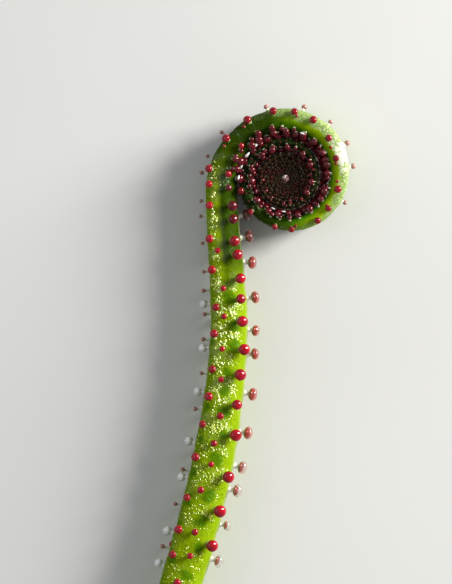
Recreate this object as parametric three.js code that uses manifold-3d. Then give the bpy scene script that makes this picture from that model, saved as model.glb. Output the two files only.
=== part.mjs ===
// A young dewy pine leaf with its tip still coiled, picked and lying on its side.
// Millimetres. X and Y lie in the plane of the coil and Z points up from the surface
// that the leaf rests on. The leaf grew as one piece, so it is one solid: a tapering
// blade with a groove along its outer face, and rows of stalked glands fused to it.

import * as THREE from 'three';
import { mergeVertices } from 'three/addons/utils/BufferGeometryUtils.js';
import Module from 'manifold-3d';

const wasm = await Module();
wasm.setup();

// Driving dimensions
const coilCentre = new THREE.Vector2(2.39, 13.13);
const turns = 7;
const stationsPerTurn = 16;
const innerRatio = 0.72;
const clearance = 0.5;
const tipRadius = 0.34;
const leafSpan = 50;

// Middle line of the straight part from the cut end to the coil, measured from the
// coil's centre, with half of the blade's depth in the plane of the coil: x, y, depth
const stemStations = [
  [-8.10, -30.80, 1.42],
  [-6.67, -25.90, 1.40],
  [-5.60, -21.97, 1.39],
  [-4.71, -17.97, 1.37],
  [-4.10, -13.97, 1.28],
  [-3.80, -9.97, 1.23],
  [-3.93, -6.60, 1.17],
  [-4.17, -3.80, 1.10],
  [-4.28, -1.60, 1.06],
];

// Outer turn and a half of the coil at every eighth of a turn: radius of the middle
// line and half depth. Further in, both shrink by a steady ratio.
const coilStations = [
  [4.25, 1.02],
  [3.90, 0.87],
  [3.88, 0.78],
  [3.80, 0.71],
  [3.52, 0.63],
  [3.24, 0.55],
  [2.98, 0.48],
  [2.84, 0.42],
  [2.72, 0.37],
  [2.56, 0.34],
  [2.37, 0.31],
  [2.17, 0.28],
  [1.95, 0.25],
];

// Section of the blade: how full its shoulders are and how deep the groove between them
const shoulder = 1.18;
const grooveDepth = 0.3;
const grooveWidth = 28;
const sectionAngles = [0, 38, 76, 112, 148, 180, -148, -112, -76, -38];

// Rows of stalked glands. from and to are distances along the blade from its cut end.
// angle goes round the section: 0 faces the coil's centre, 90 is up, 180 is the grooved
// outer face and negative angles are the underside. pitch, angle, head (radius) and
// stalk (length) are values at the cut end, at the start of the coil and after its
// first and second turn. lift leans glands between two turns out of the plane of the
// coil, swing turns a row up on the far side of the coil, tall is the height of a head
// with its drop as a share of its radius, and a seated row reaches down to the surface.
const marks = [0, 31.3, 52.5, 66];
const stemRows = [
  { seed: 1730, from: 1.2, to: 29.4, pitch: [2.45, 1.8], angle: [3, 3],
    head: [0.40, 0.36], stalk: [0.38, 0.34] },
  { seed: 918, from: 1.6, to: 30.8, pitch: [2.9, 1.0], angle: [46, 62],
    head: [0.46, 0.32], stalk: [0.58, 0.48], lift: 0.6 },
  { seed: 1779, from: 0.4, to: 27.2, pitch: [1.85, 2.25], angle: [90, 96],
    head: [0.24, 0.20], stalk: [0.30, 0.25] },
  { seed: 1667, from: 1.2, to: 31.2, pitch: [2.3, 1.95], angle: [115, 112],
    head: [0.29, 0.26], stalk: [0.28, 0.25] },
  { seed: 1597, from: 2.6, to: 33.8, pitch: [3.2, 1.2], angle: [-172, -168],
    head: [0.16, 0.14], stalk: [0.60, 0.45], tall: 1.75 },
  { seed: 1601, from: 4.3, to: 22.5, pitch: [3.0, 3.0], angle: [156, 156],
    head: [0.31, 0.27], stalk: [0.36, 0.32], tall: 1.7 },
  { seed: 1783, from: 30.4, to: 37.5, pitch: [1.2, 1.2], angle: [96, 74],
    head: [0.25, 0.22], stalk: [0.28, 0.25] },
  { seed: 4001, from: 2.6, to: 30.6, pitch: [3.2, 2.7], angle: [-58, -62],
    head: [0.28, 0.26], stalk: [0.34, 0.30] },
  { seed: 5203, from: 1.0, to: 30.8, pitch: [2.4, 2.2], angle: [-95, -95],
    head: [0.36, 0.33], stalk: [0.30, 0.25], seated: true },
  { seed: 6007, from: 2.0, to: 30.8, pitch: [3.6, 3.3], angle: [-114, -112],
    head: [0.28, 0.26], stalk: [0.30, 0.25] },
];
const coilRows = [
  { seed: 7103, from: 31.9, to: 62, pitch: [1.15, 1.15, 1.15, 1.15], angle: [50, 50, 55, 70],
    head: [0.27, 0.27, 0.24, 0.18], stalk: [0.3, 0.32, 0.25, 0.15], lift: 0.7, swing: -22 },
  { seed: 7207, from: 32.1, to: 53, pitch: [1.6, 1.5, 1.4], angle: [118, 118, 112],
    head: [0.27, 0.27, 0.22], stalk: [0.2, 0.2, 0.15], swing: -28 },
  { seed: 7309, from: 36.9, to: 45.2, pitch: [1.55, 1.55], angle: [160, 160],
    head: [0.18, 0.18], stalk: [0.24, 0.22], tall: 1.75 },
  { seed: 8101, from: 32.2, to: 62, pitch: [1.8, 1.8, 1.8, 1.8], angle: [-50, -50, -55, -70],
    head: [0.27, 0.27, 0.24, 0.18], stalk: [0.3, 0.32, 0.25, 0.15], lift: 0.7 },
  { seed: 8209, from: 31.6, to: 51, pitch: [1.6, 1.6, 1.5], angle: [-95, -95, -90],
    head: [0.33, 0.33, 0.30], stalk: [0.2, 0.2, 0.15], seated: true },
];

// Distance along the blade at which a swing is greatest, and how far it reaches
const swingMiddle = 42.6;
const swingReach = 4.5;

// Irregularities of growth: how far a gland strays along its row as a share of the
// pitch, round the section in degrees, and in size and lean as shares
const stray = { place: 0.5, turn: 8, size: 0.24, lean: 0.3 };

// Deepest that a gland's root is sunk into the blade, the least head that is large, and
// the height of a plain head with its drop as a share of its radius
const rootDepth = 0.3;
const largeHead = 0.28;
const plainTall = 1.36;

const leafColour = 0x86a81c;

// Repeatable draw between -0.5 and 0.5, by a linear congruential generator
function makeChance(seed) {
  let state = seed;
  return () => {
    state = (state * 1664525 + 1013904223) % 2 ** 32;
    return state / 2 ** 32 - 0.5;
  };
}

// Value of a list along the leaf, given at each of the marks
function along(values, distance) {
  const last = values.length - 1;
  let step = 0;
  while (step < last - 1 && distance > marks[step + 1]) {
    step += 1;
  }
  const share = (distance - marks[step]) / (marks[step + 1] - marks[step]);
  const clamped = Math.min(Math.max(share, 0), 1);
  return values[step] + (values[step + 1] - values[step]) * clamped;
}

// Radius and half depth of the coil after so many turns
const coilCurve = new THREE.CatmullRomCurve3(
  coilStations.map(([radius, depth]) => new THREE.Vector3(radius, depth, 0)), false, 'catmullrom', 0.5);
function coilAt(turn) {
  const measuredTurns = (coilStations.length - 1) / 8;
  if (turn <= measuredTurns) {
    const { x, y } = coilCurve.getPoint(turn / measuredTurns);
    return [x, y];
  }
  const shrink = innerRatio ** (turn - measuredTurns);
  const [radius, depth] = coilStations.at(-1);
  return [radius * shrink, depth * shrink ** 0.9];
}

// Half breadth of the blade across the plane of the coil
const stemBreadth = (depth) => 1.1 * depth;
const coilBreadth = (radius) => 0.17 + 0.243 * radius;

// The whole leaf is two curves over the same stations: the middle line, and the half
// depth and half breadth of the section around it
function makeLeafCurves() {
  const middle = [];
  const sizes = [];
  const coilHeight = clearance + coilBreadth(coilStations[0][0]);
  for (const [x, y, depth] of stemStations) {
    const breadth = stemBreadth(depth);
    middle.push(new THREE.Vector3(coilCentre.x + x, coilCentre.y + y, clearance + breadth));
    sizes.push(new THREE.Vector3(depth, breadth, 0));
  }
  for (let station = 0; station <= turns * stationsPerTurn; station += 1) {
    const turn = station / stationsPerTurn;
    const [radius, depth] = coilAt(turn);
    const bearing = Math.PI * (1 - 2 * turn);
    const x = coilCentre.x + radius * Math.cos(bearing);
    const y = coilCentre.y + radius * Math.sin(bearing);
    middle.push(new THREE.Vector3(x, y, coilHeight));
    sizes.push(new THREE.Vector3(depth, coilBreadth(radius), 0));
  }
  const middleLine = new THREE.CatmullRomCurve3(middle, false, 'catmullrom', 0.5);
  const sizeLine = new THREE.CatmullRomCurve3(sizes, false, 'catmullrom', 0.5);
  middleLine.arcLengthDivisions = 4000;
  return { middleLine, sizeLine, stationCount: middle.length - 1 };
}
const { middleLine, sizeLine, stationCount } = makeLeafCurves();

// Centre, directions and half sizes of the section at a share of the stations
const up = new THREE.Vector3(0, 0, 1);
function sectionAt(share) {
  const centre = middleLine.getPoint(share);
  const tangent = middleLine.getTangent(share);
  const inward = new THREE.Vector3(tangent.y, -tangent.x, 0).normalize();
  const { x: depth, y: breadth } = sizeLine.getPoint(share);
  return { centre, tangent, inward, depth, breadth };
}

// Outline of the section, as shares of its half depth and half breadth
function outlineAt(degrees) {
  const angle = THREE.MathUtils.degToRad(degrees);
  const across = Math.cos(angle);
  const rise = Math.sin(angle);
  if (across >= 0) {
    return [across, rise];
  }
  const offGroove = (180 - Math.abs(degrees)) / grooveWidth;
  const groove = 1 - grooveDepth * Math.exp(-(offGroove ** 2));
  return [-shoulder * groove * Math.abs(across) ** 0.6, rise];
}

// Point of the blade's skin
function skinPoint(section, degrees) {
  const [across, rise] = outlineAt(degrees);
  return section.centre.clone()
    .addScaledVector(section.inward, across * section.depth)
    .addScaledVector(up, rise * section.breadth);
}

// Direction that points straight out of the skin, in the plane of the section
function skinNormal(section, degrees) {
  const step = 2;
  const edge = skinPoint(section, degrees + step).sub(skinPoint(section, degrees - step));
  const normal = section.inward.clone().multiplyScalar(edge.dot(up));
  return normal.addScaledVector(up, -edge.dot(section.inward)).normalize();
}

// Stations of the rings: about 1.5 mm apart on the straight part, every 15 degrees on
// the two outer turns of the coil and every 30 degrees further in
function ringShares() {
  const straight = stemStations.length;
  const outerTurns = straight + 2 * stationsPerTurn;
  const shares = [];
  let station = 0;
  while (station < stationCount - 0.01) {
    shares.push(station / stationCount);
    if (station < straight - 0.01) {
      station += 1 / 3;
    } else {
      station += station < outerTurns - 0.01 ? 2 / 3 : 4 / 3;
    }
  }
  shares.push(1);
  return shares;
}

// Blade: rings of points along the middle line, with a flat face at each end
function makeBlade() {
  const positions = [];
  const indices = [];
  const sides = sectionAngles.length;
  const shares = ringShares();
  for (const share of shares) {
    const section = sectionAt(share);
    for (const degrees of sectionAngles) {
      positions.push(...skinPoint(section, degrees).toArray());
    }
  }
  for (let ring = 0; ring < shares.length - 1; ring += 1) {
    for (let side = 0; side < sides; side += 1) {
      const next = (side + 1) % sides;
      const a = ring * sides + side;
      const b = ring * sides + next;
      indices.push(a, b + sides, b, a, a + sides, b + sides);
    }
  }
  const cutEnd = positions.length / 3;
  positions.push(...sectionAt(0).centre.toArray(), ...sectionAt(1).centre.toArray());
  const lastRing = (shares.length - 1) * sides;
  for (let side = 0; side < sides; side += 1) {
    const next = (side + 1) % sides;
    indices.push(cutEnd, side, next);
    indices.push(cutEnd + 1, lastRing + next, lastRing + side);
  }
  const geometry = new THREE.BufferGeometry();
  geometry.setAttribute('position', new THREE.Float32BufferAttribute(positions, 3));
  geometry.setIndex(indices);
  return geometry;
}

// Gland with its clear drop: a flared stalk under a mushroom head, standing along +Y.
// A large head has five sides and a flattened crown, a small one is plainer.
function makeGland(head, stalk, root, tall) {
  const large = head > largeHead;
  const rim = 1.1 * head;
  const profile = [
    [0, -root],
    [0.62 * head, -root],
    [0.34 * head, stalk],
    [rim, stalk + (large ? 0.3 : 0.45) * tall * head],
    [0, stalk + tall * head],
  ];
  if (large) {
    profile.splice(4, 0, [0.8 * rim, stalk + 0.75 * tall * head]);
  }
  return new THREE.LatheGeometry(profile.map(([x, y]) => new THREE.Vector2(x, y)), large ? 5 : 4);
}

// Stands a gland on the skin, with its root sunk into the blade
function placeGland(row, distance, draws) {
  const share = middleLine.getUtoTmapping(0, distance);
  const section = sectionAt(share);
  const swing = (row.swing ?? 0) * Math.exp(-(((distance - swingMiddle) / swingReach) ** 2));
  const degrees = along(row.angle, distance) + swing + stray.turn * draws.turn;
  const size = 1 + stray.size * draws.size;
  const head = along(row.head, distance) * size;
  const direction = skinNormal(section, degrees);
  direction.addScaledVector(up, Math.sign(degrees) * (row.lift ?? 0));
  direction.addScaledVector(section.tangent, stray.lean * draws.lean);
  direction.normalize();
  const foot = skinPoint(section, degrees);
  let stalk = along(row.stalk, distance) * size;
  if (row.seated) {
    stalk = Math.max(stalk, -foot.z / direction.z - 0.75 * head);
  }
  const root = Math.min(rootDepth, 0.7 * section.depth);
  const gland = makeGland(head, stalk, root, row.tall ?? plainTall);
  gland.applyQuaternion(new THREE.Quaternion().setFromUnitVectors(new THREE.Vector3(0, 1, 0), direction));
  gland.translate(...foot.toArray());
  return gland;
}

// One row of glands, spaced by its pitch with a small seeded stray
function makeRow(row) {
  const glands = [];
  const chance = makeChance(row.seed);
  let distance = row.from;
  while (distance < row.to) {
    const pitch = along(row.pitch, distance);
    const shift = stray.place * pitch * chance();
    const draws = { turn: chance(), size: chance(), lean: chance() };
    glands.push(placeGland(row, distance + shift, draws));
    distance += pitch;
  }
  return glands;
}

// Closed solid of a geometry, without the zero-area triangles at a lathe's poles
function toSolid(geometry) {
  const bare = geometry.clone();
  bare.deleteAttribute('normal');
  bare.deleteAttribute('uv');
  const merged = mergeVertices(bare, 1e-5);
  const triangles = [];
  for (let corner = 0; corner < merged.index.count; corner += 3) {
    const [a, b, c] = [0, 1, 2].map((step) => merged.index.getX(corner + step));
    if (a !== b && b !== c && c !== a) {
      triangles.push(a, b, c);
    }
  }
  const vertProperties = Float32Array.from(merged.attributes.position.array);
  return new wasm.Manifold(new wasm.Mesh({
    numProp: 3,
    vertProperties,
    triVerts: Uint32Array.from(triangles),
  }));
}

// Geometry of a solid
function toGeometry(solid) {
  const mesh = solid.getMesh();
  const geometry = new THREE.BufferGeometry();
  geometry.setAttribute('position', new THREE.Float32BufferAttribute(mesh.vertProperties, 3));
  geometry.setIndex(Array.from(mesh.triVerts));
  return geometry;
}

// Leaf: the blade, its coiled tip and the glands, flattened where they meet the surface
function makeLeaf() {
  let leaf = toSolid(makeBlade());
  for (const row of [...stemRows, ...coilRows]) {
    for (const gland of makeRow(row)) {
      leaf = leaf.add(toSolid(gland));
    }
  }
  const tip = new THREE.SphereGeometry(tipRadius, 8, 6);
  tip.translate(...sectionAt(1).centre.toArray());
  leaf = leaf.add(toSolid(tip));
  const below = new THREE.BoxGeometry(leafSpan, leafSpan, leafSpan);
  below.translate(0, 0, -leafSpan / 2);
  return toGeometry(leaf.subtract(toSolid(below)));
}

const group = new THREE.Group();
const leaf = new THREE.Mesh(makeLeaf(), new THREE.MeshStandardMaterial({
  color: leafColour,
  roughness: 0.35,
  metalness: 0,
}));
leaf.name = 'leaf';
group.add(leaf);

export default group;
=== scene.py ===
import math
from collections import namedtuple

import bpy
import numpy as np
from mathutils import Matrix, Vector, noise


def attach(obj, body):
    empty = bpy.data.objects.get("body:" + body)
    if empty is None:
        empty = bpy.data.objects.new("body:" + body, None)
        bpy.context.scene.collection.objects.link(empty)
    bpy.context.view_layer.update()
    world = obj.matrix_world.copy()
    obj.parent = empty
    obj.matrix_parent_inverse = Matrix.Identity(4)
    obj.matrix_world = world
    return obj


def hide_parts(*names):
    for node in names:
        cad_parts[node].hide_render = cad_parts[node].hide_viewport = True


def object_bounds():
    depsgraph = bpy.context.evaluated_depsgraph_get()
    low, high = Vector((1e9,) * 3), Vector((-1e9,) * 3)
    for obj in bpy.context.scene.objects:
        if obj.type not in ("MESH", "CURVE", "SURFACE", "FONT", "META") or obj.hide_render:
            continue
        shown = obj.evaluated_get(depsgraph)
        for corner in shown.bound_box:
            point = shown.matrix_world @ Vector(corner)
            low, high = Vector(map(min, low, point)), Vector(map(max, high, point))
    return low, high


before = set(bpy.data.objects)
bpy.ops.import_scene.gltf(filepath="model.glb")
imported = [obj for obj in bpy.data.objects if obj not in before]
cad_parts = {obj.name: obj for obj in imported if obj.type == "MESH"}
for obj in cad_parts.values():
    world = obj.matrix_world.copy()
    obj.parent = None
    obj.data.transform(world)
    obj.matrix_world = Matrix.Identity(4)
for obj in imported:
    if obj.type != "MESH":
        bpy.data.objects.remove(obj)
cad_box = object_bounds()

# A young dewy pine leaf with a coiled tip, lying on its side. The lengths below are in
# millimetres and repeat the driving values of the solid model. Meshes are made in metres.
MM = 0.001
CAD_TOP = cad_box[1][2] / MM

COIL_CENTRE = (2.39, 13.13)
TURNS = 7
STATIONS_PER_TURN = 16
# Each inner turn is smaller than the one before by this ratio, and its depth a little less
INNER_RATIO, DEPTH_POWER = 0.72, 0.9
# Height of the blade over the floor, and its half breadth: a share of the half depth on the
# straight part, and on the coil a value at the centre that rises with the radius
CLEARANCE = 0.5
STEM_BREADTH = 1.1
COIL_BREADTH, COIL_BREADTH_RISE = 0.17, 0.243
TIP_RADIUS = 0.34
# Size of the glands at the tip, as a share of that on the second turn
INNER_SCALE = 0.35

# Middle line of the straight part from the cut end to the coil: x, y, half depth
STEM_STATIONS = [
    (-8.10, -30.80, 1.42), (-6.67, -25.90, 1.40), (-5.60, -21.97, 1.39),
    (-4.71, -17.97, 1.37), (-4.10, -13.97, 1.28), (-3.80, -9.97, 1.23),
    (-3.93, -6.60, 1.17), (-4.17, -3.80, 1.10), (-4.28, -1.60, 1.06),
]
# Outer turn and a half of the coil at every eighth of a turn: radius, half depth
MEASURES_PER_TURN = 8
COIL_STATIONS = [
    (4.25, 1.02), (3.90, 0.87), (3.88, 0.78), (3.80, 0.71), (3.52, 0.63), (3.24, 0.55), (2.98, 0.48),
    (2.84, 0.42), (2.72, 0.37), (2.56, 0.34), (2.37, 0.31), (2.17, 0.28), (1.95, 0.25),
]
# Outer face of the section: its reach as a share of the half depth, how square its
# shoulders are, and its groove's depth as a share and half width in degrees
SHOULDER, SHOULDER_POWER = 1.18, 0.6
GROOVE_DEPTH, GROOVE_WIDTH = 0.3, 28
# Section angles at which the frosted outer face begins, above and below. The upper one
# swings up on the coil: by how much, where most and how far along the leaf it reaches
FROST_EDGE, FROST_LOWER_EDGE = 124, 146
FROST_SWING, FROST_MIDDLE, FROST_REACH = -40, 41.5, 7.0

# Places where the rows give their values: the cut end, the start of the coil, and the ends
# of its first and second turn
MARKS = (0, 31.3, 52.5, 66)
# Range of a gland's random stray: place as a share of the pitch, section angle in degrees,
# size as a share, and lean along the leaf
STRAY_PLACE, STRAY_TURN, STRAY_SIZE, STRAY_LEAN = 0.5, 8, 0.24, 0.3
# Heads on the stem's ridge, up to this section angle, are painted darker close to the coil: painted shadow
# of the coil
COIL_SHADOW_START, COIL_SHADOW_END, COIL_SHADOW_DARK, COIL_SHADOW_ANGLE = 26.5, 28.0, 0.92, 75
# Glassy stalks take on the green of the skin as they stand upright: from no rise to full
UPRIGHT = (0.55, 0.85)
# A row with a swing turns up by that angle on the far side of the coil
SWING_MIDDLE, SWING_REACH = 42.6, 4.5
# The root in the leaf: its length, but no more than this share of the half depth
ROOT_LENGTH, ROOT_SHARE = 0.3, 0.7
# A seated gland's stalk ends this share of its head's radius above the floor
SEAT_HEIGHT = 0.75

# A row of stalked glands. Its pitch, section angle, head radius and stalk length are lists
# along the leaf, and lift turns its glands away from the middle. Its dark turns the heads
# maroon: partly their own tone, partly painted shade deep in the coil.
Row = namedtuple("Row", "seed start end pitch angle head stalk lift swing seated kind dark",
                 defaults=(0.0, 0.0, False, "plain", 0.0))
Gland = namedtuple("Gland", "place foot direction head stalk root kind dark green")

# Rows of the straight part and of the coil, as in the solid model
STEM_ROWS = [
    Row(1730, 1.2, 29.4, (2.45, 1.8), (3,), (0.40, 0.36), (0.38, 0.34), kind="capped"),
    Row(918, 1.6, 30.8, (2.9, 1.0), (46, 62), (0.46, 0.32), (0.58, 0.48), lift=0.6),
    Row(1779, 0.4, 27.2, (1.85, 2.25), (90, 96), (0.24, 0.20), (0.30, 0.25)),
    Row(1667, 1.2, 31.2, (2.3, 1.95), (115, 112), (0.29, 0.26), (0.28, 0.25)),
    Row(1597, 2.6, 33.8, (3.2, 1.2), (-172, -168), (0.16, 0.14), (0.60, 0.45), kind="pale"),
    Row(1601, 4.3, 22.5, (3.0,), (156,), (0.31, 0.27), (0.36, 0.32), kind="wet"),
    Row(1783, 30.4, 37.5, (1.2,), (96, 74), (0.25, 0.22), (0.28, 0.25)),
    Row(4001, 2.6, 30.6, (3.2, 2.7), (-58, -62), (0.28, 0.26), (0.34, 0.30)),
    Row(5203, 1.0, 30.8, (2.4, 2.2), (-95,), (0.36, 0.33), (0.30, 0.25), seated=True),
    Row(6007, 2.0, 30.8, (3.6, 3.3), (-114, -112), (0.28, 0.26), (0.30, 0.25)),
]
COIL_ROWS = [
    Row(7103, 31.9, 62, (1.15,), (50, 50, 55, 70), (0.27, 0.27, 0.24, 0.18),
        (0.3, 0.32, 0.25, 0.15), lift=0.7, swing=-22, dark=0.75),
    Row(7207, 32.1, 53, (1.6, 1.5, 1.4), (118, 118, 112), (0.27, 0.27, 0.22), (0.2, 0.2, 0.15),
        swing=-28, dark=0.4),
    Row(7309, 36.9, 45.2, (1.55,), (160,), (0.18,), (0.24, 0.22), kind="pale"),
    Row(8101, 32.2, 62, (1.8,), (-50, -50, -55, -70), (0.27, 0.27, 0.24, 0.18),
        (0.3, 0.32, 0.25, 0.15), lift=0.7, dark=1.0),
    Row(8209, 31.6, 51, (1.6, 1.6, 1.5), (-95, -95, -90), (0.33, 0.33, 0.30), (0.2, 0.2, 0.15),
        seated=True),
]
# Rows that only the looks have: small heads between the large ones of the outer edge,
# then the crowd that fills the space between the turns
CROWD_ROWS = [
    Row(7211, 33.6, 50, (1.5, 1.5, 1.4), (112, 112, 106), (0.12, 0.12, 0.1), (0.12, 0.12, 0.1),
        swing=-28, dark=0.4),
    Row(9103, 31.4, 64, (0.9, 0.9, 0.8, 0.7), (24, 24, 28, 40), (0.31, 0.31, 0.19, 0.14),
        (0.2, 0.2, 0.16, 0.1), lift=0.35, dark=0.8),
    Row(9203, 32.0, 66, (0.9, 0.9, 0.8, 0.7), (68, 68, 70, 76), (0.17, 0.17, 0.14, 0.11),
        (0.26, 0.26, 0.2, 0.12), lift=0.3, swing=-34, dark=0.8),
    Row(9311, 31.8, 64, (1.0, 1.0, 0.9, 0.8), (-24, -24, -28, -40), (0.28, 0.28, 0.2, 0.14),
        (0.2, 0.2, 0.16, 0.1), lift=0.35, dark=0.8),
    Row(9319, 31.6, 64, (0.62, 0.62, 0.56, 0.5), (2,), (0.28, 0.28, 0.2, 0.13),
        (0.1, 0.1, 0.1, 0.08), dark=0.8),
] + [
    Row(seed, start, 47, (0.62, 0.62, 0.56), (angle, angle, 2), (0.28, 0.28, 0.2), (0.3, 0.3, 0.1), dark=0.8)
    for seed, start, angle in ((9323, 39.0, 12), (9329, 39.0, -14), (9331, 38.0, -38))
] + [
    Row(seed, start, end, (pitch,), (angle,), (head, head, head, last), (0.1, 0.1, 0.1, 0.08), dark=0.9)
    for seed, start, end, pitch, angle, head, last in (
        (9337, 53.0, 70, 0.5, 178, 0.2, 0.14), (9341, 53.0, 70, 0.6, -158, 0.2, 0.14),
        (9343, 53.0, 70, 0.7, 148, 0.18, 0.14), (9347, 56.0, 66, 0.36, 168, 0.26, 0.2))
]
# Rows of minute glands on the inner turns, also for the looks only
PAPILLA_ROWS = [
    Row(9401, 51, 91, (0.5, 0.5, 0.48, 0.44), (92,), (0.1,), (0.12,)),
    Row(9403, 51, 91, (0.5, 0.5, 0.48, 0.44), (62,), (0.1,), (0.12,)),
    Row(9407, 51, 91, (0.5, 0.5, 0.48, 0.44), (122,), (0.09, 0.09, 0.1, 0.1), (0.12, 0.12, 0.1, 0.1)),
    Row(9409, 62, 91, (0.5,), (30,), (0.1, 0.1, 0.1, 0.12), (0.12,), lift=0.8),
    Row(9413, 51, 91, (0.6,), (-90,), (0.1, 0.1, 0.1, 0.12), (0.1,)),
]


def along(values, distance):
    """Value of a row's list at a distance. Its last one holds from there on."""
    return np.interp(distance, MARKS[:len(values)], values)


def make_chance(seed):
    """Repeatable draw between -0.5 and 0.5, from a seed."""
    factor, step, whole = 1664525, 1013904223, 2 ** 32
    state = [seed]

    def draw():
        state[0] = (state[0] * factor + step) % whole
        return state[0] / whole - 0.5
    return draw


def smooth_line(points, at):
    """Catmull-Rom curve through points, at positions counted in points."""
    points = np.asarray(points, float)
    padded = np.vstack([2 * points[0] - points[1], points, 2 * points[-1] - points[-2]])
    low = np.clip(np.floor(at).astype(int), 0, len(points) - 2)
    share = (np.asarray(at) - low)[:, None]
    before, left, right, after = (padded[low + step] for step in range(4))
    leave, arrive = (right - before) / 2, (after - left) / 2
    return ((2 * left - 2 * right + leave + arrive) * share ** 3
            + (3 * right - 3 * left - 2 * leave - arrive) * share ** 2 + leave * share + left)


def coil_breadth(radius):
    """Half breadth of the coil's blade at a radius."""
    return COIL_BREADTH + COIL_BREADTH_RISE * radius


def make_stations():
    """Stations of the middle line (x, y, z) and of the half depth and half breadth."""
    middle, sizes = [], []
    coil_height = CLEARANCE + coil_breadth(COIL_STATIONS[0][0])
    for x, y, depth in STEM_STATIONS:
        breadth = STEM_BREADTH * depth
        middle.append((COIL_CENTRE[0] + x, COIL_CENTRE[1] + y, CLEARANCE + breadth))
        sizes.append((depth, breadth))
    measured = (len(COIL_STATIONS) - 1) / MEASURES_PER_TURN
    for station in range(TURNS * STATIONS_PER_TURN + 1):
        turn = station / STATIONS_PER_TURN
        if turn <= measured:
            radius, depth = smooth_line(COIL_STATIONS, np.array([turn * MEASURES_PER_TURN]))[0]
        else:
            shrink = INNER_RATIO ** (turn - measured)
            radius = COIL_STATIONS[-1][0] * shrink
            depth = COIL_STATIONS[-1][1] * shrink ** DEPTH_POWER
        bearing = math.pi * (1 - 2 * turn)
        middle.append((COIL_CENTRE[0] + radius * math.cos(bearing),
                       COIL_CENTRE[1] + radius * math.sin(bearing), coil_height))
        sizes.append((depth, coil_breadth(radius)))
    return np.array(middle), np.array(sizes)


MIDDLE, SIZES = make_stations()
LAST_STATION = len(MIDDLE) - 1
# Lengths along the middle line, measured in fine steps
FINE_STEPS = 4000
FINE_STATIONS = np.linspace(0, LAST_STATION, FINE_STEPS + 1)
FINE_POINTS = smooth_line(MIDDLE, FINE_STATIONS)
STEP_LENGTHS = np.linalg.norm(np.diff(FINE_POINTS, axis=0), axis=1)
FINE_LENGTHS = np.concatenate([[0], np.cumsum(STEP_LENGTHS)])
LEAF_LENGTH = FINE_LENGTHS[-1]
UP = np.array((0.0, 0.0, 1.0))
SIDEWAYS = np.array((1.0, 0.0, 0.0))


def unit(vectors):
    """Vectors of length one."""
    return vectors / np.linalg.norm(vectors, axis=-1, keepdims=True)


def section_at(distance):
    """Centre, tangent, inward direction, half depth and half breadth at distances."""
    at = np.interp(distance, FINE_LENGTHS, FINE_STATIONS)
    nudge = 0.01
    ahead = smooth_line(MIDDLE, np.minimum(at + nudge, LAST_STATION))
    behind = smooth_line(MIDDLE, np.maximum(at - nudge, 0))
    tangent = unit(ahead - behind)
    inward = unit(np.stack([tangent[:, 1], -tangent[:, 0], np.zeros(len(at))], axis=1))
    depth, breadth = smooth_line(SIZES, at).T
    return smooth_line(MIDDLE, at), tangent, inward, depth, breadth


def outline_at(degrees):
    """Outline of the section, as shares of its half depth and half breadth."""
    angle = np.radians(degrees)
    across, rise = np.cos(angle), np.sin(angle)
    off_groove = (180 - np.abs(degrees)) / GROOVE_WIDTH
    groove = 1 - GROOVE_DEPTH * np.exp(-(off_groove ** 2))
    outer = -SHOULDER * groove * np.abs(across) ** SHOULDER_POWER
    return np.where(across >= 0, across, outer), rise


def skin_at(distance, degrees):
    """Points of the skin and the directions straight out of it, for paired arrays."""
    centre, tangent, inward, depth, breadth = section_at(distance)

    def point(turned):
        across, rise = outline_at(turned)
        return centre + inward * (across * depth)[:, None] + UP * (rise * breadth)[:, None]
    nudge = 2
    edge = point(degrees + nudge) - point(degrees - nudge)
    normal = inward * edge[:, 2:3] - UP * (edge * inward).sum(axis=1)[:, None]
    return point(degrees), unit(normal), tangent


def spot_at(place, degrees):
    """One point of the skin, with the direction straight out of it and the one along it."""
    return [values[0] for values in skin_at(np.array([place]), np.array([degrees]))]


def add_object(name, data):
    """New object in the scene."""
    thing = bpy.data.objects.new(name, data)
    bpy.context.collection.objects.link(thing)
    return thing


class Surface:
    """Vertices, faces and per-vertex values of one piece, collected before its mesh is made."""

    def __init__(self):
        self.points, self.faces, self.values, self.count = [], [], {}, 0

    def add(self, points, faces, **values):
        """Adds a part with its own faces. A value is one number or one a point."""
        self.points.append(points)
        self.faces.extend([tuple(corner + self.count for corner in face) for face in faces])
        for name, value in values.items():
            self.values.setdefault(name, []).append(np.broadcast_to(value, len(points)))
        self.count += len(points)

    def add_lathe(self, profile, sides, foot, direction, **values):
        """Adds a closed lathe that stands on foot along direction."""
        points = lathe_points(profile, sides, foot, direction)
        self.add(points, lathe_faces(len(profile) - 2, sides), **values)

    def make(self, name, material, other_material=None, other_faces=()):
        """Makes the piece. Some of its faces can have another material."""
        points = np.concatenate(self.points) * MM
        mesh = bpy.data.meshes.new(name)
        mesh.from_pydata(points.tolist(), [], self.faces)
        for label, parts in self.values.items():
            attribute = mesh.attributes.new(label, "FLOAT", "POINT")
            attribute.data.foreach_set("value", np.concatenate(parts).astype(np.float32))
        mesh.shade_smooth()
        mesh.materials.append(material)
        if other_material:
            mesh.materials.append(other_material)
        for index in other_faces:
            mesh.polygons[index].material_index = 1
        piece = add_object(name, mesh)
        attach(piece, "root")
        return piece


def lathe_faces(rings, sides):
    """Faces of a closed lathe: a pole, rings of points and another pole."""
    faces = []
    for side in range(sides):
        after = (side + 1) % sides
        faces.append((0, 1 + after, 1 + side))
        for ring in range(rings - 1):
            low, high = 1 + ring * sides, 1 + (ring + 1) * sides
            faces.append((low + side, low + after, high + after, high + side))
        top = 1 + (rings - 1) * sides
        faces.append((top + side, top + after, 1 + rings * sides))
    return faces


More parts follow.
